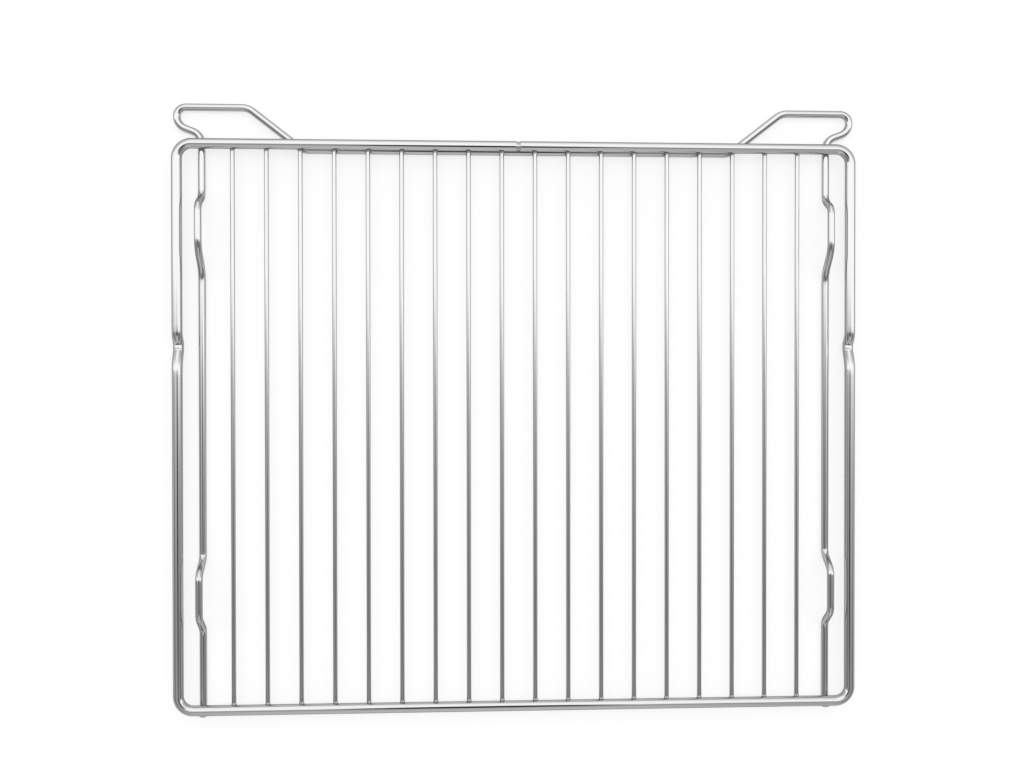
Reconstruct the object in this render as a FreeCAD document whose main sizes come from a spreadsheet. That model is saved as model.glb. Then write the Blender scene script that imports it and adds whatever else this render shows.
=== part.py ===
import FreeCAD, Part

import math
import os

from FreeCAD import Placement, Rotation, Vector

# Driving dimensions in millimetres, each with the words that say what it is
SIZES = (
    ("rim_wire_dia", 7.0, "diameter of the rim wire"),
    ("guard_wire_dia", 4.8, "diameter of the guard wire"),
    ("bar_wire_dia", 3.0, "diameter of a grid bar"),
    ("rim_width", 466.0, "rim, outer edge to outer edge, left to right"),
    ("rim_depth", 388.4, "rim, outer edge to outer edge, front to rear"),
    ("rim_bend_radius", 10.0, "rim corner, to the middle of the wire"),
    ("notch_setback", 139.9, "rear edge of the rim to the middle of a stop notch"),
    ("notch_flat", 5.0, "length of a stop notch at its bottom"),
    ("notch_ramp", 5.1, "length of each ramp of a stop notch"),
    ("notch_drop", 4.0, "depth of a stop notch"),
    ("bar_count", 18, "number of grid bars"),
    ("bar_side_gap", 21.2, "outermost grid bar to the guard side run, middle to middle"),
    ("bar_bite", 1.6, "how far a bar end reaches in under its rail"),
    ("guard_side_inset", 18.9, "outer edge of the rim to the guard side run, middle of wire"),
    ("guard_front_reach", 2.4, "guard wire ends beyond the front edge of the rim"),
    ("guard_rear_inset", 6.2, "rear edge of the rim to the guard rear run, middle of wire"),
    ("foot_height", 12.3, "rise of a foot above the guard side run"),
    ("foot_flat", 28.6, "length of a foot at its top"),
    ("front_foot_ramp", 9.7, "length of each ramp of a front foot"),
    ("rear_foot_front_ramp", 15.4, "length of the easy front ramp of a rear foot"),
    ("rear_foot_rear_ramp", 6.9, "length of the steep rear ramp of a rear foot"),
    ("front_foot_setback", 57.0, "front edge of the rim to the front foot"),
    ("rear_foot_setback", 38.2, "rear edge of the rim to the rear foot"),
    ("ear_reach", 24.4, "outer edge of the ears beyond the rear edge of the rim"),
    ("ear_root", 3.6, "rear edge of the rim to where an ear turns outward, middle of wire"),
    ("ear_climb", 6.1, "rise of the outward run of an ear"),
    ("ear_easy_radius", 9.0, "easy lower bends of an ear, to the middle of the wire"),
    ("ear_tight_radius", 6.3, "tight upper bend of an ear, to the middle of the wire"),
    ("ear_length", 50.0, "outer edge of the rim to where an ear turns down to the rail"),
    ("slope_run", 36.5, "left-to-right length of the slope from an ear to the rear run"),
    ("slope_bend_radius", 12.0, "bend from an ear into the slope, to the middle of the wire"),
)

# A run shorter than this is left out between two bends that meet
SHORTEST_RUN = 0.001
# Bend radius of a corner that is pressed sharp in a die
SHARP = 0

doc = FreeCAD.newDocument("oven_shelf_rack")

# The sheet of driving dimensions
sheet = doc.addObject("Spreadsheet::Sheet", "sizes")
for row, (alias, value, meaning) in enumerate(SIZES, start=1):
    sheet.set(f"A{row}", meaning)
    sheet.set(f"B{row}", str(value))
    sheet.setAlias(f"B{row}", alias)
doc.recompute()


def size(alias):
    """Value of a driving dimension."""
    return float(sheet.get(alias))


# Places worked out from the driving dimensions. X runs left to right, Y front to rear and Z up.
# The guard wire lies on the ground, and the origin is under the middle of the whole rack.
rim_radius = size("rim_wire_dia") / 2
guard_radius = size("guard_wire_dia") / 2
half_width = size("rim_width") / 2
front_edge = -(size("rim_depth") + size("ear_reach") - size("guard_front_reach")) / 2
rear_edge = front_edge + size("rim_depth")
front_rail_y = front_edge + rim_radius
rear_rail_y = rear_edge - rim_radius
side_x = half_width - rim_radius
guard_x = half_width - size("guard_side_inset")
rim_z = size("guard_wire_dia") + rim_radius

# The same places as expressions, for the objects that are bound to the sheet
FRONT_EDGE = "-(sizes.rim_depth + sizes.ear_reach - sizes.guard_front_reach) / 2"
GUARD_X = "(sizes.rim_width / 2 - sizes.guard_side_inset)"

# Turn that lays an upright cylinder front to rear
ALONG_Y = Rotation(Vector(1, 0, 0), -90)


def bound(kind, name, expressions, turn):
    """New object with its turn set and its sizes and place bound to the sheet."""
    item = doc.addObject(kind, name)
    item.Placement = Placement(Vector(), turn)
    for prop, expression in expressions.items():
        item.setExpression(prop, expression)
    return item


def cut(name, base, tool):
    """Boolean cut of one object by another."""
    item = doc.addObject("Part::Cut", name)
    item.Base = base
    item.Tool = tool
    return item


def bent_path(corners):
    """Straight runs joined by bends, each given as a point and a radius that its runs have room for."""
    points = [point for point, radius in corners]
    edges = []
    pen = points[0]
    for before, (corner, radius), after in zip(points, corners[1:-1], points[2:]):
        arrive = (corner - before).normalize()
        leave = (after - corner).normalize()
        half_turn = arrive.getAngle(leave) / 2
        room = min(corner.distanceToPoint(before), corner.distanceToPoint(after)) / 2
        tangent = min(radius * math.tan(half_turn), room)
        crown = tangent * math.tan(half_turn / 2)
        arc_start = corner - arrive * tangent
        arc_middle = corner + (leave - arrive).normalize() * crown
        arc_end = corner + leave * tangent
        if pen.distanceToPoint(arc_start) > SHORTEST_RUN:
            edges.append(Part.LineSegment(pen, arc_start).toShape())
        if radius > SHARP:
            edges.append(Part.Arc(arc_start, arc_middle, arc_end).toShape())
        pen = arc_end
    edges.append(Part.LineSegment(pen, points[-1]).toShape())
    return Part.Wire(edges)


def swept_wire(name, corners, dia_alias):
    """Round wire along a bent path, checked against its section times its length."""
    path = bent_path(corners)
    spine = doc.addObject("Part::Feature", name + "_path")
    spine.Shape = path
    first = path.Edges[0]
    turn = Rotation(Vector(0, 0, 1), first.tangentAt(first.FirstParameter))
    section = bound("Part::Circle", name + "_section", {"Radius": f"sizes.{dia_alias} / 2"}, turn)
    section.Placement.Base = corners[0][0]
    sweep = doc.addObject("Part::Sweep", name + "_sweep")
    sweep.Sections = [section]
    sweep.Spine = (spine, [f"Edge{count}" for count in range(1, len(path.Edges) + 1)])
    sweep.Solid = True
    sweep.Transition = "Right corner"
    doc.recompute()
    expected = math.pi * (size(dia_alias) / 2) ** 2 * path.Length
    if round(sweep.Shape.Volume / expected, 3) != 1:
        raise ValueError(f"{name}: volume {sweep.Shape.Volume:.1f}, expected {expected:.1f}")
    return sweep


def rim_side(side):
    """Corners of one side of the rim from rear to front, with the stop notch pressed down."""
    middle = rear_edge - size("notch_setback")
    half_flat = size("notch_flat") / 2
    half_notch = half_flat + size("notch_ramp")
    low_z = rim_z - size("notch_drop")
    outline = (
        (rear_rail_y, rim_z, size("rim_bend_radius")),
        (middle + half_notch, rim_z, SHARP),
        (middle + half_flat, low_z, SHARP),
        (middle - half_flat, low_z, SHARP),
        (middle - half_notch, rim_z, SHARP),
        (front_rail_y, rim_z, size("rim_bend_radius")),
    )
    return [(Vector(side * side_x, y, z), radius) for y, z, radius in outline]


def make_rim():
    """Closed rim wire, its ends met behind the middle where they are butt-welded."""
    seam = (Vector(0, rear_rail_y, rim_z), SHARP)
    corners = [seam] + rim_side(-1) + rim_side(1)[::-1] + [seam]
    sweep = swept_wire("rim", corners, "rim_wire_dia")
    sweep.Label = "rim_wire"
    return sweep


def make_bar(number, rim):
    """Grid bar with both ends coped to fit the rails of the rim."""
    name = f"grid_bar_{number:02d}"
    share = f"(2 * {number - 1} / (sizes.bar_count - 1) - 1)"
    inset = "(sizes.rim_wire_dia - sizes.bar_bite)"
    rod = bound("Part::Cylinder", name + "_rod", {
        "Radius": "sizes.bar_wire_dia / 2",
        "Height": f"sizes.rim_depth - 2 * {inset}",
        "Placement.Base.x": f"{share} * ({GUARD_X} - sizes.bar_side_gap)",
        "Placement.Base.y": f"{FRONT_EDGE} + {inset}",
        "Placement.Base.z": "sizes.guard_wire_dia + sizes.bar_wire_dia / 2",
    }, ALONG_Y)
    return cut(name, rod, rim)


def foot(front_base, front_ramp, rear_ramp):
    """Corners of a foot from its front to its rear, as places along the side run and heights."""
    top_front = front_base + front_ramp
    top_rear = top_front + size("foot_flat")
    top_z = guard_radius + size("foot_height")
    return (
        (front_base, guard_radius),
        (top_front, top_z),
        (top_rear, top_z),
        (top_rear + rear_ramp, guard_radius),
    )


def guard_side(side):
    """Corners of one half of the guard wire, from its front end to the start of the rear run."""
    easy_ramp = size("rear_foot_front_ramp")
    steep_ramp = size("rear_foot_rear_ramp")
    front_base = front_edge + size("front_foot_setback")
    rear_base = rear_edge - size("rear_foot_setback") - easy_ramp - size("foot_flat") - steep_ramp
    front_foot = foot(front_base, size("front_foot_ramp"), size("front_foot_ramp"))
    rear_foot = foot(rear_base, easy_ramp, steep_ramp)
    corners = [(guard_x, front_edge - size("guard_front_reach"), guard_radius, SHARP)]
    for y, z in front_foot + rear_foot:
        corners.append((guard_x, y, z, SHARP))
    outer_x = half_width - guard_radius
    slope_x = half_width - size("ear_length")
    root_y = rear_edge + size("ear_root")
    ear_y = rear_edge + size("ear_reach") - guard_radius
    ear_bends = (
        (guard_x, root_y, size("ear_easy_radius")),
        (outer_x, root_y + size("ear_climb"), size("ear_easy_radius")),
        (outer_x, ear_y, size("ear_tight_radius")),
        (slope_x, ear_y, size("slope_bend_radius")),
        (slope_x - size("slope_run"), rear_edge - size("guard_rear_inset"), SHARP),
    )
    for x, y, radius in ear_bends:
        corners.append((x, y, guard_radius, radius))
    return [(Vector(side * x, y, z), radius) for x, y, z, radius in corners]


def make_guard():
    """One guard wire under the rim and the bars, with two feet and an ear on each side."""
    corners = guard_side(-1) + guard_side(1)[::-1]
    sweep = swept_wire("guard", corners, "guard_wire_dia")
    sweep.Label = "guard_wire"
    return sweep


def check(document, sub_parts):
    """Stop if an object failed or a sub-part is not one valid solid."""
    for item in document.Objects:
        if "Invalid" in item.State or "Error" in item.State:
            raise RuntimeError(f"{item.Name} failed: {item.State}")
    for item in sub_parts:
        if item.Shape.isNull() or not item.Shape.isValid() or len(item.Shape.Solids) != 1:
            raise RuntimeError(f"{item.Label} is not one valid solid")


rim_wire = make_rim()
grid_bars = [make_bar(number, rim_wire) for number in range(1, int(size("bar_count")) + 1)]
guard_wire = make_guard()
rack = [rim_wire, guard_wire] + grid_bars
doc.recompute()
check(doc, rack)

os.makedirs("parts", exist_ok=True)
for sub_part in rack:
    sub_part.Shape.Solids[0].exportStep(f"parts/{sub_part.Label}.step")
    print(f"{sub_part.Label}: {sub_part.Shape.Volume:.1f} mm3")
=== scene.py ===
import math

import bmesh
import bpy
from mathutils import Matrix, Vector, noise
from mathutils.kdtree import KDTree


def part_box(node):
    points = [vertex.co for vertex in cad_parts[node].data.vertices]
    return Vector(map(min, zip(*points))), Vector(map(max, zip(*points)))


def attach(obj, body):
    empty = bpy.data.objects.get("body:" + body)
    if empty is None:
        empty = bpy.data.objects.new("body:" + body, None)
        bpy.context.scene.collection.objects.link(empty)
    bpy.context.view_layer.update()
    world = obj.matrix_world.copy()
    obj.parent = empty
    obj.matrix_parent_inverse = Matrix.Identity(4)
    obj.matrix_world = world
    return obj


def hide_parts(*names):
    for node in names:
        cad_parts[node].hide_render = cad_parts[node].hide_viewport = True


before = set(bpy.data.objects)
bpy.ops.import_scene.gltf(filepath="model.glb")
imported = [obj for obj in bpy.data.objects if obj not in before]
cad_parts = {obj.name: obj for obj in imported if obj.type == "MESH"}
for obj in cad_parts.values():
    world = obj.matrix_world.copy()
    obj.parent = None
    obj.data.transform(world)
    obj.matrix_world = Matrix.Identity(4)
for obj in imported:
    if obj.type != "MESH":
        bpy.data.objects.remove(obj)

bl_info = {
    "name": "Oven shelf rack",
    "version": (1, 0, 0),
    "blender": (4, 5, 0),
    "location": "View3D > Sidebar > Rack",
    "description": "Chromed wire shelf of an oven: bent wires, welds, finish and stage",
    "category": "Object",
}

MM = 0.001
UP = Vector((0, 0, 1))
# Left and right
SIDES = (-1, 1)

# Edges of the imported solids, which the drawn wires keep to
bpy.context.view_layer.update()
RIM_LOW, RIM_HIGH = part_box("rim_wire")
GUARD_LOW, GUARD_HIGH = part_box("guard_wire")
BAR_NODES = sorted(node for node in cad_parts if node.startswith("grid_bar"))
BAR_BOXES = {node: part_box(node) for node in BAR_NODES}

# How finely the wires and the beads are drawn
WIRE_FACETS = 40
BAR_FACETS = 28
RUN_STEP = 4 * MM
CREASE_STEP = 1.5 * MM
FILLET_STEP = 0.4 * MM
BEND_STEP = math.radians(5)
SEAM_STEPS = 24
TIP_STEPS = 8
BEAD_SEGMENTS = 20
BEAD_RINGS = 12
# An edge that turns by more than this stays sharp
SHARP_TURN = math.radians(50)

# How finely the floor and the card are drawn
STAGE_SEGMENTS = 96
FLOOR_RINGS = 4
SWEEP_RINGS = 8
SWEEP_STEP = math.radians(4)

# Ridge of the butt weld: its width as a share of half the weld, its height as a share of the waist's depth
RIDGE_WIDTH = 0.16
RIDGE_HEIGHT = 0.45
# Flat face of a guard end, as a share of the wire's radius
TIP_FACE = 0.3
# Stretch at a bar's end that is drawn finely besides its weld fillet, because it runs in under the rail
BAR_TUCK = 2 * MM
# Half-sizes of a weld bead left to right, front to rear and up, as shares of half a spot weld
BAR_BEAD = Vector((1.0, 0.9, 0.5))
RAIL_BEAD = Vector((1.5, 1.2, 0.6))
# Dents in a weld bead: their depth as a share of its size, and about how many lie across half of it
DENT_DEPTH = 0.12
DENT_COUNT = 1.7

# Brightness of the dome by where a direction points, from -1 in front to 1 at the rear
DOME_BAND = (
    (-1.0, 0.98), (-0.65, 0.9), (-0.4, 0.7), (-0.2, 0.62), (-0.11, 0.88), (-0.05, 1.12),
    (0.0, 1.4), (0.06, 2.05), (0.3, 2.1), (0.45, 1.9), (0.75, 2.0), (1.0, 1.5),
)
# Direction of the dome's rear, turned a little to the right
DOME_REAR = (0.04, 1, 0)
# Width of the camera's sensor in millimetres
SENSOR_WIDTH = 36


def linear(hex_colour):
    """Linear colour of an sRGB hex value such as C2C4C5."""
    channels = [int(hex_colour[i:i + 2], 16) / 255 for i in (0, 2, 4)]
    return tuple(c / 12.92 if c <= 0.04045 else ((c + 0.055) / 1.055) ** 2.4 for c in channels)


def length(name, description, millimetres):
    """Length property with its default in millimetres."""
    return bpy.props.FloatProperty(
        name=name, description=description, default=millimetres * MM, unit="LENGTH", precision=5)


def colour(name, description, hex_colour):
    """Colour property with an sRGB hex default."""
    return bpy.props.FloatVectorProperty(
        name=name, description=description, default=linear(hex_colour), subtype="COLOR", min=0, max=1)


def share(name, description, default):
    """Property between 0 and 1."""
    return bpy.props.FloatProperty(
        name=name, description=description, default=default, min=0, max=1, subtype="FACTOR")


def angle(name, description, degrees):
    """Angle property with its default in degrees."""
    return bpy.props.FloatProperty(
        name=name, description=description, default=math.radians(degrees), subtype="ANGLE")


class RackSizes(bpy.types.PropertyGroup):
    """Sizes of the wires, their bends and their welds."""

    rim_wire: length("Rim wire", "Diameter of the rim wire", 7.0)
    guard_wire: length("Guard wire", "Diameter of the guard wire", 4.8)
    bar_wire: length("Bar wire", "Diameter of a grid bar", 3.0)
    rim_bend: length("Rim bend", "Radius of a rim corner, to the middle of the wire", 10.0)
    notch_setback: length("Notch setback", "Rear edge of the rim to the middle of a stop notch", 139.9)
    notch_flat: length("Notch flat", "Length of a stop notch at its bottom", 5.0)
    notch_ramp: length("Notch ramp", "Length of the steep rear ramp of a stop notch", 5.1)
    notch_easy_ramp: length("Notch easy ramp", "Length of the easy front ramp of a stop notch", 8.6)
    notch_drop: length("Notch drop", "Depth of a stop notch", 4.0)
    notch_bend: length("Notch bend", "Radius of the upper rear bend of a stop notch", 8.0)
    notch_easy_bend: length("Notch easy bend", "Radius of the upper front bend of a stop notch", 24.0)
    seam_width: length("Seam width", "Length of the dressed butt weld along the rear rail", 3.2)
    seam_depth: length("Seam depth", "How far the butt weld is ground below the wire", 0.8)
    guard_side_inset: length("Guard side inset", "Outer edge of the rim to the guard side run", 18.9)
    guard_rear_inset: length("Guard rear inset", "Rear edge of the rim to the guard rear run", 6.2)
    foot_flat: length("Foot flat", "Length of a foot at its top", 28.6)
    front_foot_ramp: length("Front foot ramp", "Length of each ramp of a front foot", 9.7)
    rear_foot_front_ramp: length("Rear foot front ramp", "Length of the easy ramp of a rear foot", 15.4)
    rear_foot_rear_ramp: length("Rear foot rear ramp", "Length of the steep ramp of a rear foot", 6.9)
    front_foot_setback: length("Front foot setback", "Front edge of the rim to a front foot", 57.0)
    rear_foot_setback: length("Rear foot setback", "Rear edge of the rim to a rear foot", 38.2)
    foot_bend: length("Foot bend", "Radius of the bends at the steep ramps of the feet", 7.5)
    foot_easy_bend: length("Foot easy bend", "Radius of the bends at the easy ramp of a rear foot", 17.0)
    ear_root: length("Ear root", "Rear edge of the rim to where an ear turns outward", 3.6)
    ear_climb: length("Ear climb", "Rise of the outward run of an ear", 6.1)
    ear_easy_bend: length("Ear easy bend", "Radius of the lower bends of an ear", 8.8)
    ear_tight_bend: length("Ear tight bend", "Radius of the upper bend of an ear", 6.1)
    ear_length: length("Ear length", "Outer edge of the rim to where an ear turns down", 50.0)
    slope_run: length("Slope run", "Left-to-right length of the slope from an ear", 36.5)
    slope_bend: length("Slope bend", "Radius of the bends at both ends of the slope", 12.0)
    collar_wire: length("Weld collar", "Diameter of the weld fillet round a bar end", 3.5)
    collar_length: length("Weld collar length", "Length of the weld fillet along the bar", 1.8)
    bead_width: length("End bead width", "Weld bead at a guard end, along the front rail", 7.4)
    bead_depth: length("End bead depth", "Weld bead at a guard end, across the front rail", 5.4)
    bead_height: length("End bead height", "Top of the weld bead at a guard end, above the floor", 7.4)
    spot_weld: length("Spot weld", "Width of the weld where two wires cross", 4.2)
    haze_reach: length("Weld haze reach", "How far the plating is dulled round a weld", 2.6)


class RackFinish(bpy.types.PropertyGroup):
    """Colours and surface of the plating."""

    plate: colour("Chrome plate", "Reflection colour of the bright plating", "B4B4B4")
    edge: colour("Chrome edge", "Tint of the plating at a grazing angle", "808080")
    weld: colour("Weld haze", "Reflection colour of the thin plating round a weld", "A6A6A4")
    polish: share("Polish roughness", "Roughness of the bright plating", 0.07)
    wiped: share("Wiped roughness", "Roughness of the plating in a wipe mark", 0.126)
    dull: share("Weld roughness", "Roughness of the plating round a weld", 0.22)
    die_line: length("Die line spacing", "Spacing of the drawing lines along a wire", 0.45)
    die_line_run: length("Die line length", "Length of a drawing line", 60.0)
    die_line_depth: length("Die line depth", "Depth of a drawing line", 0.004)
    wipe_mark: length("Wipe mark size", "Size of the faint marks left by wiping", 14.0)
    haze_patch: length("Haze patch size", "Size of the patches that make the weld haze ragged", 1.2)


class RackStage(bpy.types.PropertyGroup):
    """Floor, dark card and camera."""

    floor: colour("Floor", "Colour of the paper floor", "F4F4F4")
    floor_cloud: colour("Floor clouds", "Colour of the darker clouds in the paper", "F2F2F2")
    floor_fibre: length("Floor fibre", "Size of the clouds in the paper", 8.0)
    floor_lift: share("Floor lift", "How far the paper is lifted towards white where it is seen", 0.72)
    floor_reach: length("Floor reach", "Level part of the paper floor, from its middle", 2500.0)
    floor_sweep: length("Floor sweep", "Radius of the paper where it turns up far from the rack", 6000.0)
    card_height: length("Card height", "Height of the dark card over the rack", 1000.0)
    card_width: length("Card width", "Width of the dark card, left to right", 1500.0)
    card_depth: length("Card depth", "Depth of the dark card, front to rear", 900.0)
    card_setback: length("Card setback", "How far the dark card hangs towards the front", 230.0)
    card_cover: share("Card cover", "How much the thin felt of the card hides", 0.18)
    core_width: length("Core width", "Width of the card's thick core, left to right", 555.6)
    core_depth: length("Core depth", "Depth of the card's thick core, front to rear", 800.0)
    core_shift: length("Core shift", "How far the thick core lies behind the card's middle", 30.0)
    core_cover: share("Core cover", "How much the thick core of the card hides", 0.98)
    felt: colour("Felt", "Colour of the card's felt", "080808")
    felt_tuft: colour("Felt tufts", "Colour of the paler tufts in the felt", "141414")
    felt_fibre: length("Felt fibre", "Size of the tufts in the felt", 2.0)
    felt_fade: share("Felt fade", "Where the felt starts to thin out on the way to its edge", 0.6)
    distance: length("Camera distance", "Distance of the camera from the middle of the rim", 750.0)
    across: length("Camera across", "How far the rim's middle is to the right of the line of sight", 4.61)
    along: length("Camera along", "How far the rim's middle is behind the line of sight", -29.09)
    yaw: angle("Camera yaw", "Turn about the front-to-rear axis", 2.94)
    pitch: angle("Camera pitch", "Turn about the left-to-right axis", 0.53)
    roll: angle("Camera roll", "Turn about the line of sight", 0.05)
    focal: bpy.props.FloatProperty(
        name="Focal length", description="Focal length of the lens, in millimetres", default=38.67, min=1)


def rim_level(sizes):
    """Height of the middle of the rim wire."""
    return RIM_HIGH.z - sizes.rim_wire / 2


def rail_lines(sizes):
    """Front-to-rear places of the middle of the front rail and of the rear rail."""
    return RIM_LOW.y + sizes.rim_wire / 2, RIM_HIGH.y - sizes.rim_wire / 2


def guard_line(sizes):
    """Distance of the guard side runs from the middle of the rack."""
    return RIM_HIGH.x - sizes.guard_side_inset


def slope_ends(sizes):
    """Outer and inner corner of the slope on the right, in plan."""
    outer_x = RIM_HIGH.x - sizes.ear_length
    outer = Vector((outer_x, GUARD_HIGH.y - sizes.guard_wire / 2))
    inner = Vector((outer_x - sizes.slope_run, RIM_HIGH.y - sizes.guard_rear_inset))
    return outer, inner


def bent_path(corners):
    """Points along straight runs, round bends and through creases, which are corners of no radius."""
    points = [corner for corner, radius in corners]
    path = [points[0]]

    def run_to(goal):
        start = path[-1].copy()
        count = max(1, round((goal - start).length / RUN_STEP))
        path.extend(start.lerp(goal, i / count) for i in range(1, count + 1))

    for before, (corner, radius), after in zip(points, corners[1:-1], points[2:]):
        arrive = (corner - before).normalized()
        leave = (after - corner).normalized()
        turn = arrive.angle(leave)
        inward = (leave - arrive * arrive.dot(leave)).normalized()
        if radius == 0:
            run_to(corner - arrive * CREASE_STEP)
            path += [corner, corner + leave * CREASE_STEP]
            continue
        bend_start = corner - arrive * radius * math.tan(turn / 2)
        run_to(bend_start)
        count = max(2, round(turn / BEND_STEP))
        for i in range(1, count + 1):
            swing = turn * i / count
            path.append(bend_start + radius * (arrive * math.sin(swing) + inward * (1 - math.cos(swing))))
    run_to(points[-1])
    return path


def rim_path(sizes):
    """Closed path of the rim wire from its butt weld, with fine steps at the weld."""
    front_y, rear_y = rail_lines(sizes)
    level = rim_level(sizes)
    side_x = RIM_HIGH.x - sizes.rim_wire / 2
    notch_y = RIM_HIGH.y - sizes.notch_setback
    half_flat = sizes.notch_flat / 2
    outline = (
        (rear_y, level, sizes.rim_bend),
        (notch_y + half_flat + sizes.notch_ramp, level, sizes.notch_bend),
        (notch_y + half_flat, level - sizes.notch_drop, 0),
        (notch_y - half_flat, level - sizes.notch_drop, 0),
        (notch_y - half_flat - sizes.notch_easy_ramp, level, sizes.notch_easy_bend),
        (front_y, level, sizes.rim_bend),
    )
    left = [(Vector((-side_x, y, z)), radius) for y, z, radius in outline]
    right = [(Vector((side_x, y, z)), radius) for y, z, radius in reversed(outline)]
    seam = [Vector((sizes.seam_width * (1 - 2 * i / SEAM_STEPS), rear_y, level))
            for i in range(SEAM_STEPS + 1)]
    return bent_path([(seam[-1], 0)] + left + right + [(seam[0], 0)]) + seam[1:-1]


def seam_radius(sizes, point):
    """Radius of the rim wire at a point: a shallow waist with a thin ridge at the butt weld."""
    radius = sizes.rim_wire / 2
    reach = abs(point.x) / (sizes.seam_width / 2)
    if point.y < 0 or reach > 1:
        return radius
    waist = 0.5 + 0.5 * math.cos(math.pi * reach)
    ridge = math.exp(-(reach / RIDGE_WIDTH) ** 2)
    return radius - sizes.seam_depth * (waist - RIDGE_HEIGHT * ridge)


def foot_corners(sizes, front_base, front_ramp, rear_ramp):
    """Corners of a foot from its front to its rear, as places along the side run and heights."""
    low = sizes.guard_wire / 2
    high = GUARD_HIGH.z - sizes.guard_wire / 2
    top_front = front_base + front_ramp
    top_rear = top_front + sizes.foot_flat
    return (front_base, low), (top_front, high), (top_rear, high), (top_rear + rear_ramp, low)


def guard_path(sizes):
    """Path of the guard wire from its left front end to its right front end."""
    level = sizes.guard_wire / 2
    line = guard_line(sizes)
    easy, steep = sizes.rear_foot_front_ramp, sizes.rear_foot_rear_ramp
    rear_base = RIM_HIGH.y - sizes.rear_foot_setback - easy - sizes.foot_flat - steep
    front_foot = foot_corners(
        sizes, RIM_LOW.y + sizes.front_foot_setback, sizes.front_foot_ramp, sizes.front_foot_ramp)
    rear_foot = foot_corners(sizes, rear_base, easy, steep)
    outer_x = RIM_HIGH.x - sizes.guard_wire / 2
    root_y = RIM_HIGH.y + sizes.ear_root
    slope_outer, slope_inner = slope_ends(sizes)
    tip = [Vector((line, GUARD_LOW.y + level * i / TIP_STEPS, level)) for i in range(TIP_STEPS + 1)]
    outline = [(*tip[-1], 0)]
    outline += [(line, y, z, sizes.foot_bend) for y, z in front_foot]
    outline += [(line, y, z, sizes.foot_easy_bend) for y, z in rear_foot[:2]]
    outline += [(line, y, z, sizes.foot_bend) for y, z in rear_foot[2:]]
    outline += [
        (line, root_y, level, sizes.ear_easy_bend),
        (outer_x, root_y + sizes.ear_climb, level, sizes.ear_easy_bend),
        (outer_x, slope_outer.y, level, sizes.ear_tight_bend),
        (slope_outer.x, slope_outer.y, level, sizes.slope_bend),
        (slope_inner.x, slope_inner.y, level, sizes.slope_bend),
    ]
    left = [(Vector((-x, y, z)), radius) for x, y, z, radius in outline]
    right = [(Vector((x, y, z)), radius) for x, y, z, radius in reversed(outline)]
    left_tip = [Vector((-x, y, z)) for x, y, z in tip[:-1]]
    return left_tip + bent_path(left + right) + tip[-2::-1]


def tip_radius(sizes, point):
    """Radius of the guard wire at a point, rounded off by the weld at its front ends."""
    radius = sizes.guard_wire / 2
    depth = min((point.y - GUARD_LOW.y) / radius, 1)
    return radius * (TIP_FACE + (1 - TIP_FACE) * math.sqrt(depth * (2 - depth)))


def bar_path(sizes, low, high):
    """Straight path of a grid bar, with fine steps in the weld fillets at its ends."""
    x = (low.x + high.x) / 2
    z = (low.z + high.z) / 2
    reach = sizes.collar_length + BAR_TUCK
    fine = round(reach / FILLET_STEP)
    ends = [reach * i / fine for i in range(fine + 1)]
    plain = high.y - low.y - 2 * reach
    count = round(plain / RUN_STEP)
    places = [low.y + step for step in ends]
    places += [low.y + reach + plain * i / count for i in range(1, count)]
    places += [high.y - step for step in reversed(ends)]
    return [Vector((x, y, z)) for y in places]


def collar_radius(sizes, point):
    """Radius of a grid bar at a point, flared to the rail by the weld fillet."""
    radius = sizes.bar_wire / 2
    from_rail = min(point.y - RIM_LOW.y, RIM_HIGH.y - point.y) - sizes.rim_wire
    closeness = 1 - min(max(from_rail / sizes.collar_length, 0), 1)
    return radius + (sizes.collar_wire / 2 - radius) * closeness ** 2


def weld_places(sizes):
    """Weld places by kind: bar ends, bars on the guard wire, guard wire on the rails, and the seam."""
    front_y, rear_y = rail_lines(sizes)
    line = guard_line(sizes)
    top = sizes.guard_wire
    slope_outer, slope_inner = slope_ends(sizes)
    slope_share = (slope_outer.y - rear_y) / (slope_outer.y - slope_inner.y)
    crossing_x = slope_outer.x - sizes.slope_run * slope_share
    bar_ends = []
    bar_crossings = []
    for low, high in BAR_BOXES.values():
        x = (low.x + high.x) / 2
        z = (low.z + high.z) / 2
        bar_ends.append(Vector((x, RIM_LOW.y + sizes.rim_wire, z)))
        bar_ends.append(Vector((x, RIM_HIGH.y - sizes.rim_wire, z)))
        if abs(x) < slope_inner.x + sizes.bar_wire / 2:
            bar_crossings.append(Vector((x, slope_inner.y, top)))
    rail_crossings = []
    for side in SIDES:
        rail_crossings += [Vector((side * line, y, top)) for y in (front_y, rear_y)]
        rail_crossings.append(Vector((side * crossing_x, rear_y, top)))
    seam = [Vector((0, rear_y, rim_level(sizes)))]
    return {"bar_ends": bar_ends, "bars": bar_crossings, "rails": rail_crossings, "seam": seam}


def weld_tree(sizes):
    """Search tree of every weld place."""
    places = [place for kind in weld_places(sizes).values() for place in kind]
    tree = KDTree(len(places))
    for i, place in enumerate(places):
        tree.insert(place, i)
    tree.balance()
    return tree


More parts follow.
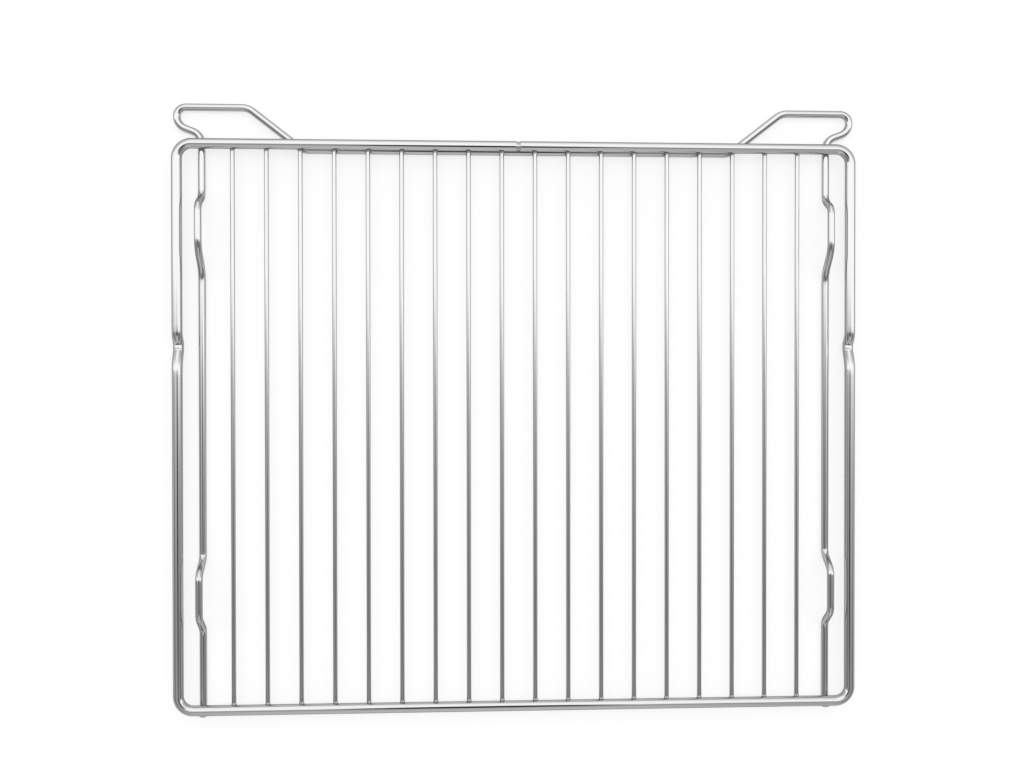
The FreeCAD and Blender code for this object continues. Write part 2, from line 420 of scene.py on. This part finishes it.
def wire_mesh(name, path, radii, facets, closed):
    """Round wire along a path. Its map holds the lengths round and along the wire."""
    count = len(path)
    vertices = []
    along = [0.0]
    for i, (centre, radius) in enumerate(zip(path, radii)):
        before = path[i - 1] if closed or i > 0 else centre
        after = path[(i + 1) % count] if closed or i < count - 1 else centre
        forward = (after - before).normalized()
        side = forward.cross(UP).normalized()
        top = side.cross(forward)
        for k in range(facets):
            turn = 2 * math.pi * k / facets
            vertices.append(centre + radius * (side * math.cos(turn) + top * math.sin(turn)))
        along.append(along[-1] + (after - centre).length)
    faces = []
    lengths = []
    strip = 2 * math.pi * max(radii) / facets
    for i in range(count if closed else count - 1):
        near = i * facets
        far = (i + 1) % count * facets
        for k in range(facets):
            n = (k + 1) % facets
            faces.append((near + k, far + k, far + n, near + n))
            for step, place in ((k, i), (k, i + 1), (k + 1, i + 1), (k + 1, i)):
                lengths += [step * strip, along[place]]
    if not closed:
        faces.append(tuple(range(facets)))
        faces.append(tuple(range(count * facets - 1, (count - 1) * facets - 1, -1)))
        lengths += [0.0, 0.0] * (2 * facets)
    mesh = bpy.data.meshes.new(name)
    mesh.from_pydata(vertices, [], faces)
    mesh.uv_layers.new(name="wire").uv.foreach_set("vector", lengths)
    mesh.shade_smooth()
    mesh.set_sharp_from_angle(angle=SHARP_TURN)
    return mesh


def mark_welds(mesh, sizes):
    """Store how near each vertex is to a weld, for the plating's haze."""
    tree = weld_tree(sizes)
    nearness = mesh.attributes.new("weld_haze", "FLOAT", "POINT")
    for vertex in mesh.vertices:
        distance = tree.find(vertex.co)[2]
        nearness.data[vertex.index].value = math.exp(-(distance / sizes.haze_reach) ** 2)


def add_piece(mesh, *nodes):
    """Link a mesh as a piece of the rack, in chrome plate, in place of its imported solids."""
    piece = bpy.data.objects.new(mesh.name, mesh)
    bpy.context.scene.collection.objects.link(piece)
    mesh.materials.append(bpy.data.materials.get("bright_chrome_plate") or chrome_plate())
    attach(piece, "root")
    if nodes:
        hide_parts(*nodes)


def add_node(tree, kind, inputs, **settings):
    """Add a node with its settings, and give each named input a value or a link."""
    node = tree.nodes.new(kind)
    for name, value in settings.items():
        setattr(node, name, value)
    for name, source in inputs.items():
        if isinstance(source, bpy.types.NodeSocket):
            tree.links.new(source, node.inputs[name])
        else:
            node.inputs[name].default_value = source
    return node


def fresh_tree(owner):
    """Empty node tree of a material or world."""
    owner.use_nodes = True
    owner.node_tree.nodes.clear()
    return owner.node_tree


def chrome_plate():
    """Bright chrome plate on drawn steel wire."""
    # Mirror-bright metal, with faint lines along the wire from the drawing die, soft marks from wiping,
    # and a dull grey bloom where the plating is thin round a weld. Real die lines are too fine to show,
    # so they are drawn wider apart
    finish = bpy.context.scene.rack_finish
    material = bpy.data.materials.new("bright_chrome_plate")
    tree = fresh_tree(material)
    place = add_node(tree, "ShaderNodeTexCoord", {})
    wire_map = add_node(tree, "ShaderNodeUVMap", {}, uv_map="wire")
    line_map = add_node(tree, "ShaderNodeVectorMath", {
        0: wire_map.outputs["UV"],
        1: (1 / finish.die_line, 1 / finish.die_line_run, 0)}, operation="MULTIPLY")
    lines = add_node(tree, "ShaderNodeTexNoise", {
        "Vector": line_map.outputs[0], "Scale": 1.0, "Detail": 2.0, "Roughness": 0.6})
    wipes = add_node(tree, "ShaderNodeTexNoise", {
        "Vector": place.outputs["Object"], "Scale": 1 / finish.wipe_mark, "Detail": 4.0, "Roughness": 0.65})
    welds = add_node(tree, "ShaderNodeAttribute", {}, attribute_name="weld_haze")
    ragged = add_node(tree, "ShaderNodeTexNoise", {
        "Vector": place.outputs["Object"], "Scale": 1 / finish.haze_patch, "Detail": 3.0})
    patchy = add_node(tree, "ShaderNodeMapRange", {
        "Value": ragged.outputs["Fac"], "To Min": 0.3, "To Max": 1.3})
    haze = add_node(tree, "ShaderNodeMath", {
        0: welds.outputs["Fac"], 1: patchy.outputs[0]}, operation="MULTIPLY", use_clamp=True)
    tone = add_node(tree, "ShaderNodeMix", {
        "Factor": haze.outputs[0], "A": (*finish.plate, 1), "B": (*finish.weld, 1)}, data_type="RGBA")
    wiped = add_node(tree, "ShaderNodeMapRange", {
        "Value": wipes.outputs["Fac"], "From Min": 0.35, "From Max": 0.7,
        "To Min": finish.polish, "To Max": finish.wiped})
    worn = add_node(tree, "ShaderNodeMapRange", {
        "Value": haze.outputs[0], "To Min": wiped.outputs[0], "To Max": finish.dull})
    relief = add_node(tree, "ShaderNodeBump", {
        "Height": lines.outputs["Fac"], "Strength": 0.25, "Distance": finish.die_line_depth})
    shader = add_node(tree, "ShaderNodeBsdfPrincipled", {
        "Base Color": tone.outputs["Result"], "Metallic": 1.0, "Roughness": worn.outputs[0],
        "Specular Tint": (*finish.edge, 1), "Normal": relief.outputs[0]})
    add_node(tree, "ShaderNodeOutputMaterial", {"Surface": shader.outputs[0]})
    return material


def paper_floor():
    """Matte white background paper."""
    # Pale and without gloss, with a faint cloudiness. Its fibres are too fine to show, so the clouds are
    # drawn far coarser
    stage = bpy.context.scene.rack_stage
    material = bpy.data.materials.new("matte_background_paper")
    tree = fresh_tree(material)
    place = add_node(tree, "ShaderNodeTexCoord", {})
    fibres = add_node(tree, "ShaderNodeTexNoise", {
        "Vector": place.outputs["Object"], "Scale": 1 / stage.floor_fibre, "Detail": 3.0})
    tone = add_node(tree, "ShaderNodeMix", {
        "Factor": fibres.outputs["Fac"], "A": (*stage.floor, 1), "B": (*stage.floor_cloud, 1)},
        data_type="RGBA")
    paper = add_node(tree, "ShaderNodeBsdfPrincipled", {
        "Base Color": tone.outputs["Result"], "Roughness": 0.9, "Specular IOR Level": 0.2})
    # Seen directly or in a reflection the paper is lifted towards white, and its shadows stay
    white = add_node(tree, "ShaderNodeEmission", {"Color": (1, 1, 1, 1), "Strength": 1.0})
    ray = add_node(tree, "ShaderNodeLightPath", {})
    seen = add_node(tree, "ShaderNodeMath", {
        0: ray.outputs["Is Camera Ray"], 1: ray.outputs["Is Glossy Ray"]}, operation="ADD")
    shown = add_node(tree, "ShaderNodeMath", {
        0: seen.outputs[0], 1: ray.outputs["Is Transmission Ray"]}, operation="ADD", use_clamp=True)
    lift = add_node(tree, "ShaderNodeMath", {
        0: shown.outputs[0], 1: stage.floor_lift}, operation="MULTIPLY")
    surface = add_node(tree, "ShaderNodeMixShader", {
        "Fac": lift.outputs[0], 1: paper.outputs[0], 2: white.outputs[0]})
    add_node(tree, "ShaderNodeOutputMaterial", {"Surface": surface.outputs[0]})
    return material


def black_felt():
    """Black wool felt."""
    # Its fibres swallow the light, so the chrome mirrors it as a dark line. They are too fine to show, so
    # its tufts are drawn coarser
    stage = bpy.context.scene.rack_stage
    material = bpy.data.materials.new("black_wool_felt")
    tree = fresh_tree(material)
    place = add_node(tree, "ShaderNodeTexCoord", {})
    fibres = add_node(tree, "ShaderNodeTexNoise", {
        "Vector": place.outputs["Object"], "Scale": 1 / stage.felt_fibre, "Detail": 3.0})
    tone = add_node(tree, "ShaderNodeMix", {
        "Factor": fibres.outputs["Fac"], "A": (*stage.felt, 1), "B": (*stage.felt_tuft, 1)},
        data_type="RGBA")
    felt = add_node(tree, "ShaderNodeBsdfPrincipled", {
        "Base Color": tone.outputs["Result"], "Roughness": 1.0, "Specular IOR Level": 0.0})
    clear = add_node(tree, "ShaderNodeBsdfTransparent", {})
    # Thin felt all over the card and a thick core, and both thin out to their edges
    thin_place = add_node(tree, "ShaderNodeVectorMath", {
        0: place.outputs["Object"],
        1: (2 / stage.card_width, 2 / stage.card_depth, 0)}, operation="MULTIPLY")
    thin_reach = add_node(tree, "ShaderNodeVectorMath", {0: thin_place.outputs[0]}, operation="LENGTH")
    thin = add_node(tree, "ShaderNodeMapRange", {
        "Value": thin_reach.outputs["Value"], "From Min": stage.felt_fade,
        "To Min": stage.card_cover, "To Max": 0.0}, interpolation_type="SMOOTHSTEP")
    thick_place = add_node(tree, "ShaderNodeVectorMath", {
        0: place.outputs["Object"],
        1: (2 / stage.core_width, 2 / stage.core_depth, 0),
        2: (0, -2 * stage.core_shift / stage.core_depth, 0)}, operation="MULTIPLY_ADD")
    thick_reach = add_node(tree, "ShaderNodeVectorMath", {0: thick_place.outputs[0]}, operation="LENGTH")
    thick = add_node(tree, "ShaderNodeMapRange", {
        "Value": thick_reach.outputs["Value"], "From Min": stage.felt_fade,
        "To Min": stage.core_cover, "To Max": 0.0}, interpolation_type="SMOOTHSTEP")
    cover = add_node(tree, "ShaderNodeMath", {
        0: thin.outputs[0], 1: thick.outputs[0]}, operation="MAXIMUM")
    surface = add_node(tree, "ShaderNodeMixShader", {
        "Fac": cover.outputs[0], 1: clear.outputs[0], 2: felt.outputs[0]})
    add_node(tree, "ShaderNodeOutputMaterial", {"Surface": surface.outputs[0]})
    return material


class RACK_OT_rim_wire(bpy.types.Operator):
    """Bend the rim wire, with its stop notches and its butt weld"""

    bl_idname = "rack.rim_wire"
    bl_label = "Bend the rim wire"

    def execute(self, context):
        sizes = context.scene.rack_sizes
        path = rim_path(sizes)
        radii = [seam_radius(sizes, point) for point in path]
        mesh = wire_mesh("bent_rim_wire", path, radii, WIRE_FACETS, closed=True)
        mark_welds(mesh, sizes)
        add_piece(mesh, "rim_wire")
        return {"FINISHED"}


class RACK_OT_guard_wire(bpy.types.Operator):
    """Bend the guard wire, with its feet, ears and slopes"""

    bl_idname = "rack.guard_wire"
    bl_label = "Bend the guard wire"

    def execute(self, context):
        sizes = context.scene.rack_sizes
        path = guard_path(sizes)
        radii = [tip_radius(sizes, point) for point in path]
        mesh = wire_mesh("bent_guard_wire", path, radii, WIRE_FACETS, closed=False)
        mark_welds(mesh, sizes)
        add_piece(mesh, "guard_wire")
        return {"FINISHED"}


class RACK_OT_grid_bars(bpy.types.Operator):
    """Lay the grid bars, with a weld fillet at each end"""

    bl_idname = "rack.grid_bars"
    bl_label = "Lay the grid bars"

    def execute(self, context):
        sizes = context.scene.rack_sizes
        for node in BAR_NODES:
            path = bar_path(sizes, *BAR_BOXES[node])
            radii = [collar_radius(sizes, point) for point in path]
            mesh = wire_mesh("welded_" + node, path, radii, BAR_FACETS, closed=False)
            mark_welds(mesh, sizes)
            add_piece(mesh, node)
        return {"FINISHED"}


class RACK_OT_weld_beads(bpy.types.Operator):
    """Add the weld beads where the guard wire meets the rails and the bars"""

    bl_idname = "rack.weld_beads"
    bl_label = "Add the weld beads"

    def execute(self, context):
        sizes = context.scene.rack_sizes
        places = weld_places(sizes)
        spot = sizes.spot_weld / 2
        half = Vector((sizes.bead_width, sizes.bead_depth, sizes.bead_height)) / 2
        beads = [(place, spot * BAR_BEAD) for place in places["bars"]]
        beads += [(place, spot * RAIL_BEAD) for place in places["rails"]]
        for side in SIDES:
            beads.append((Vector((side * guard_line(sizes), GUARD_LOW.y + half.y, half.z)), half))
        form = bmesh.new()
        for centre, reach in beads:
            made = bmesh.ops.create_uvsphere(
                form, u_segments=BEAD_SEGMENTS, v_segments=BEAD_RINGS, radius=1)
            for vertex in made["verts"]:
                dent = DENT_DEPTH * abs(noise.noise(vertex.co * DENT_COUNT + centre / MM))
                vertex.co = centre + vertex.co * reach * (1 - dent)
        mesh = bpy.data.meshes.new("weld_beads")
        form.to_mesh(mesh)
        form.free()
        mesh.uv_layers.new(name="wire")
        mesh.shade_smooth()
        mark_welds(mesh, sizes)
        add_piece(mesh)
        return {"FINISHED"}


class RACK_OT_stage(bpy.types.Operator):
    """Lay the paper floor, hang the dark card and set the soft light and the camera"""

    bl_idname = "rack.stage"
    bl_label = "Set the stage"

    def execute(self, context):
        scene = context.scene
        scene.view_settings.view_transform = "Standard"
        self.lay_floor(scene)
        self.hang_card(scene)
        self.set_light(scene)
        self.set_camera(scene)
        return {"FINISHED"}

    def lay_floor(self, scene):
        """Round paper floor that the guard wire lies on, with its far rim turned up."""
        stage = scene.rack_stage
        form = bmesh.new()
        profile = []
        for i in range(FLOOR_RINGS + 1):
            profile.append(form.verts.new((stage.floor_reach * i / FLOOR_RINGS, 0, 0)))
        for i in range(1, SWEEP_RINGS + 1):
            turn = SWEEP_STEP * i
            far = stage.floor_reach + stage.floor_sweep * math.sin(turn)
            profile.append(form.verts.new((far, 0, stage.floor_sweep * (1 - math.cos(turn)))))
        edges = [form.edges.new(pair) for pair in zip(profile, profile[1:])]
        bmesh.ops.spin(
            form, geom=profile + edges, cent=(0, 0, 0), axis=UP, angle=2 * math.pi,
            steps=STAGE_SEGMENTS, use_merge=True)
        bmesh.ops.remove_doubles(form, verts=form.verts, dist=MM)
        mesh = bpy.data.meshes.new("paper_floor")
        form.to_mesh(mesh)
        form.free()
        mesh.shade_smooth()
        mesh.materials.append(paper_floor())
        floor = bpy.data.objects.new("paper_floor", mesh)
        scene.collection.objects.link(floor)

    def hang_card(self, scene):
        """Dark card over the rack, which shows only in the chrome."""
        stage = scene.rack_stage
        form = bmesh.new()
        bmesh.ops.create_circle(form, cap_ends=True, segments=STAGE_SEGMENTS, radius=0.5)
        bmesh.ops.scale(form, vec=(stage.card_width, stage.card_depth, 1), verts=form.verts)
        mesh = bpy.data.meshes.new("felt_card")
        form.to_mesh(mesh)
        form.free()
        mesh.materials.append(black_felt())
        card = bpy.data.objects.new("felt_card", mesh)
        card.location = (0, -stage.card_setback, stage.card_height)
        card.visible_camera = False
        card.visible_diffuse = False
        card.visible_shadow = False
        scene.collection.objects.link(card)

    def set_light(self, scene):
        """Soft dome: bright behind the rack, dimmer in front and dimmest a little in front of overhead."""
        world = bpy.data.worlds.new("soft_dome")
        scene.world = world
        tree = fresh_tree(world)
        place = add_node(tree, "ShaderNodeTexCoord", {})
        axes = add_node(tree, "ShaderNodeSeparateXYZ", {0: place.outputs["Generated"]})
        rearward = add_node(tree, "ShaderNodeVectorMath", {
            0: place.outputs["Generated"], 1: DOME_REAR}, operation="DOT_PRODUCT")
        sweep = add_node(tree, "ShaderNodeMapRange", {"Value": rearward.outputs["Value"], "From Min": -1.0})
        ramp = add_node(tree, "ShaderNodeValToRGB", {"Fac": sweep.outputs[0]})
        band = ramp.color_ramp.elements
        while len(band) < len(DOME_BAND):
            band.new(0.5)
        for element, (direction, level) in zip(band, DOME_BAND):
            element.position = (direction + 1) / 2
            element.color = (level, level, level, 1)
        # Dimmer out over the four corners
        product = add_node(tree, "ShaderNodeMath", {
            0: axes.outputs["X"], 1: axes.outputs["Y"]}, operation="MULTIPLY")
        diagonal = add_node(tree, "ShaderNodeMath", {0: product.outputs[0]}, operation="ABSOLUTE")
        corners = add_node(tree, "ShaderNodeMapRange", {
            "Value": diagonal.outputs[0], "From Min": 0.12, "From Max": 0.42, "To Min": 1.0, "To Max": 0.5})
        # Dimmer out to both sides, but not in the rear half
        sideways = add_node(tree, "ShaderNodeMath", {0: axes.outputs["X"]}, operation="ABSOLUTE")
        far_side = add_node(tree, "ShaderNodeMapRange", {
            "Value": rearward.outputs["Value"], "From Min": -0.06, "From Max": 0.06, "To Min": 0.55})
        sides = add_node(tree, "ShaderNodeMapRange", {
            "Value": sideways.outputs[0], "From Min": 0.45, "From Max": 0.85,
            "To Min": 1.0, "To Max": far_side.outputs[0]})
        level = add_node(tree, "ShaderNodeMath", {
            0: corners.outputs[0], 1: sides.outputs[0]}, operation="MULTIPLY")
        glow = add_node(tree, "ShaderNodeBackground", {
            "Color": ramp.outputs["Color"], "Strength": level.outputs[0]})
        add_node(tree, "ShaderNodeOutputWorld", {"Surface": glow.outputs[0]})

    def set_camera(self, scene):
        """Camera straight over the rack, turned and placed as in the photograph."""
        stage = scene.rack_stage
        front_y, rear_y = rail_lines(scene.rack_sizes)
        middle = Vector((0, (front_y + rear_y) / 2, rim_level(scene.rack_sizes)))
        turn = (Matrix.Rotation(-stage.yaw, 3, "Y") @ Matrix.Rotation(-stage.pitch, 3, "X")
                @ Matrix.Rotation(-stage.roll, 3, "Z"))
        data = bpy.data.cameras.new("camera")
        data.sensor_width = SENSOR_WIDTH
        data.sensor_fit = "HORIZONTAL"
        data.lens = stage.focal
        data.clip_start = 10 * MM
        camera = bpy.data.objects.new("camera", data)
        offset = turn @ Vector((-stage.across, -stage.along, stage.distance))
        camera.matrix_world = Matrix.Translation(middle + offset) @ turn.to_4x4()
        scene.collection.objects.link(camera)
        scene.camera = camera


STEPS = (RACK_OT_rim_wire, RACK_OT_guard_wire, RACK_OT_grid_bars, RACK_OT_weld_beads, RACK_OT_stage)
GROUPS = (("rack_sizes", RackSizes), ("rack_finish", RackFinish), ("rack_stage", RackStage))


class RACK_PT_sidebar(bpy.types.Panel):
    """Steps and sizes of the rack"""

    bl_idname = "RACK_PT_sidebar"
    bl_label = "Oven shelf rack"
    bl_space_type = "VIEW_3D"
    bl_region_type = "UI"
    bl_category = "Rack"

    def draw(self, context):
        for step in STEPS:
            self.layout.operator(step.bl_idname)
        for name, group in GROUPS:
            box = self.layout.box()
            for key in group.__annotations__:
                box.prop(getattr(context.scene, name), key)


def register():
    for name, group in GROUPS:
        bpy.utils.register_class(group)
        setattr(bpy.types.Scene, name, bpy.props.PointerProperty(type=group))
    for kind in STEPS + (RACK_PT_sidebar,):
        bpy.utils.register_class(kind)


def unregister():
    for kind in reversed(STEPS + (RACK_PT_sidebar,)):
        bpy.utils.unregister_class(kind)
    for name, group in reversed(GROUPS):
        delattr(bpy.types.Scene, name)
        bpy.utils.unregister_class(group)


def main():
    register()
    bpy.ops.rack.rim_wire()
    bpy.ops.rack.guard_wire()
    bpy.ops.rack.grid_bars()
    bpy.ops.rack.weld_beads()
    bpy.ops.rack.stage()


if __name__ == "__main__":
    main()
